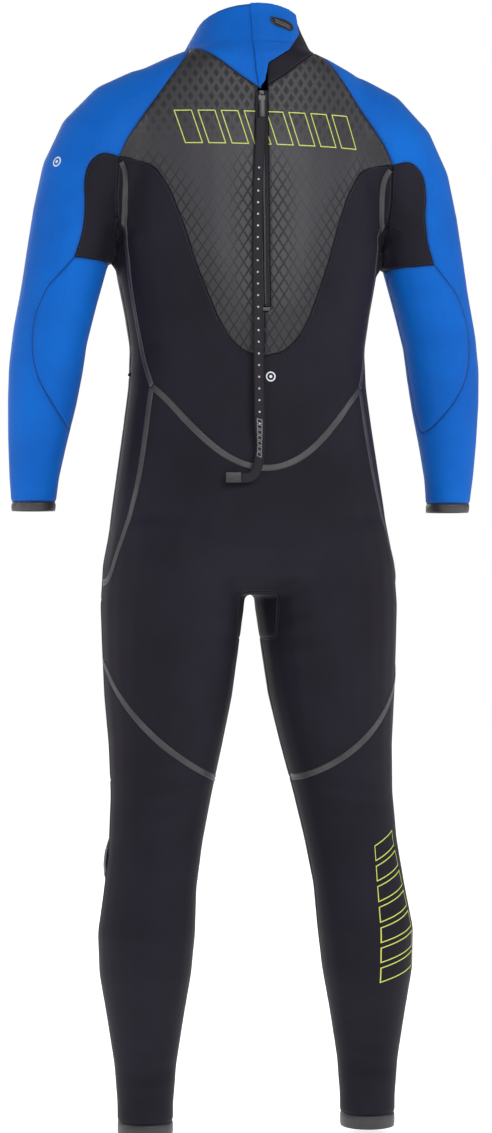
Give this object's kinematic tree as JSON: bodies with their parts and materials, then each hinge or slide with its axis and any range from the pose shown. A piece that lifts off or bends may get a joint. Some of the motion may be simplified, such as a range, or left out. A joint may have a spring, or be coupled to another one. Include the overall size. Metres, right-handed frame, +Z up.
{
  "type": "full wetsuit",
  "caption": "Full-length neoprene wetsuit with a back zip, long raglan sleeves, an embossed back panel and a webbing leash on the zip pull",
  "frame": {"origin": "the middle of the neck opening at the level of the collar's back rim, where the wearer, dress form or hanger holds the suit", "axes": "+Z up, the wearer faces -Y, the wearer's left side is +X"},
  "size_m": [0.6362, 0.2449, 1.4667],
  "materials": {
    "blue_jersey": "satin",
    "black_jersey": "matte",
    "embossed_skin": "satin",
    "liquid_tape": "satin",
    "smooth_rubber": "satin",
    "zip_plastic": "satin",
    "webbing": "matte",
    "badge": "gloss"
  },
  "bodies": {
    "suit": {"back_panel_left": "embossed_skin", "back_panel_right": "embossed_skin", "lower_back_panel": "black_jersey", "side_panel_left": "black_jersey", "side_panel_right": "black_jersey", "seat_panel": "black_jersey", "chest_panel": "black_jersey", "abdomen_panel": "black_jersey", "crotch_gusset": "black_jersey", "thigh_panel_left": "black_jersey", "thigh_panel_right": "black_jersey", "shin_panel_left": "black_jersey", "shin_panel_right": "black_jersey", "calf_panel_left": "black_jersey", "calf_panel_right": "black_jersey", "ankle_hem_left": "smooth_rubber", "ankle_hem_right": "smooth_rubber", "underarm_panel_left": "black_jersey", "underarm_panel_right": "black_jersey", "elbow_panel_left": "blue_jersey", "elbow_panel_right": "blue_jersey", "sleeve_left": "blue_jersey", "sleeve_right": "blue_jersey", "cuff_left": "smooth_rubber", "cuff_right": "smooth_rubber", "collar": "blue_jersey", "collar_underlap": "black_jersey", "loop_pad": "webbing", "neck_seal": "smooth_rubber", "wrist_seal_left": "smooth_rubber", "wrist_seal_right": "smooth_rubber", "lumbar_tape": "liquid_tape", "side_tape_left": "liquid_tape", "side_tape_right": "liquid_tape", "hip_tape_left": "liquid_tape", "hip_tape_right": "liquid_tape", "knee_tape_left": "liquid_tape", "knee_tape_right": "liquid_tape", "knee_pad_left": "smooth_rubber", "knee_pad_right": "smooth_rubber", "zip_chain_left": "zip_plastic", "zip_chain_right": "zip_plastic", "zip_tape_left": "webbing", "zip_tape_right": "webbing", "zip_top_stop": "zip_plastic", "zip_bottom_stop": "zip_plastic", "zip_baffle": "smooth_rubber"},
    "zip_slider": {"zip_slider": "zip_plastic"},
    "pull_and_leash": {"pull_tab": "zip_plastic", "leash": "webbing", "leash_end": "zip_plastic"},
    "collar_flap": {"collar_flap": "blue_jersey", "hook_pad": "webbing", "flap_badge": "badge"}
  },
  "joints": [
    {"name": "zip_slide", "type": "slide", "parent": "suit", "child": "zip_slider", "axis": [0, 0.0579, -0.9983], "range_m": [0, 0.26]},
    {"name": "pull_hinge", "type": "hinge", "parent": "zip_slider", "child": "pull_and_leash", "pos_m": [0, 0.09048, -0.12738], "axis": [1, 0, 0], "range_deg": [0, 40]},
    {"name": "flap_hinge", "type": "hinge", "parent": "suit", "child": "collar_flap", "pos_m": [0.0145, 0.076, 0], "axis": [-0.0754, 0.1553, -0.985], "range_deg": [0, 70]}
  ]
}
